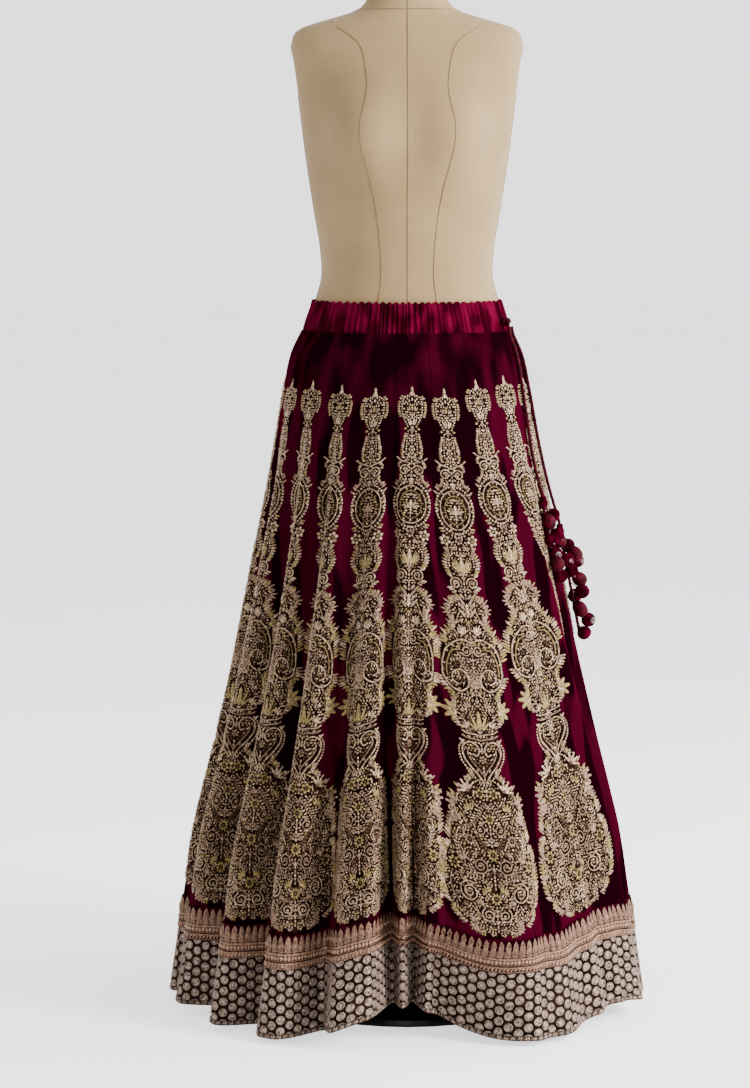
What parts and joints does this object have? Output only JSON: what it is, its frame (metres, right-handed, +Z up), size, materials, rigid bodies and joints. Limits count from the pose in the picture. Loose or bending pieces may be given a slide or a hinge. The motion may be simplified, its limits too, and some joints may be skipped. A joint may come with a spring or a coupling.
{
  "type": "embroidered lehenga skirt on a limbless dress form",
  "caption": "Flared gored velvet skirt with gold embroidered columns, a leaf ribbon and coin border, a gathered drawstring waist with tassel cords, worn by a limbless dress form on a stand.",
  "frame": {"origin": "centre of the stand's underside, on the pole's axis, at floor level", "axes": "+Z up along the pole, the garment's front faces -Y, the tassels hang on the +X side"},
  "size_m": [0.705, 0.668, 1.5403],
  "materials": {
    "wine_velvet": "deep wine pile velvet with gold thread columns",
    "zardozi_border": "coin work in pinkish metal thread on velvet",
    "leaf_ribbon": "woven metallic ribbon with a leaf edge",
    "casing_velvet": "gathered velvet",
    "satin_cord": "satin cord",
    "tassel_velvet": "velvet balls with beads",
    "form_linen": "natural linen cover",
    "cap_wood": "turned, satin",
    "stand_metal": "satin black"
  },
  "bodies": {
    "root": {"kali_01": "wine_velvet", "kali_02": "wine_velvet", "kali_03": "wine_velvet", "kali_04": "wine_velvet", "kali_05": "wine_velvet", "kali_06": "wine_velvet", "kali_07": "wine_velvet", "kali_08": "wine_velvet", "kali_09": "wine_velvet", "kali_10": "wine_velvet", "kali_11": "wine_velvet", "kali_12": "wine_velvet", "kali_13": "wine_velvet", "kali_14": "wine_velvet", "kali_15": "wine_velvet", "kali_16": "wine_velvet", "kali_17": "wine_velvet", "kali_18": "wine_velvet", "kali_19": "wine_velvet", "kali_20": "wine_velvet", "hem_border_1": "zardozi_border", "hem_border_2": "zardozi_border", "hem_border_3": "zardozi_border", "hem_border_4": "zardozi_border", "leaf_band_1": "leaf_ribbon", "leaf_band_2": "leaf_ribbon", "leaf_band_3": "leaf_ribbon", "leaf_band_4": "leaf_ribbon", "waist_casing": "casing_velvet", "drawcord_knot": "satin_cord", "drawcord_front": "satin_cord", "drawcord_back": "satin_cord", "latkan_front": "tassel_velvet", "latkan_back": "tassel_velvet", "form_torso": "form_linen", "form_neck_cap": "cap_wood", "form_collar": "stand_metal", "stand_pole": "stand_metal", "stand_base": "stand_metal"}
  },
  "joints": []
}
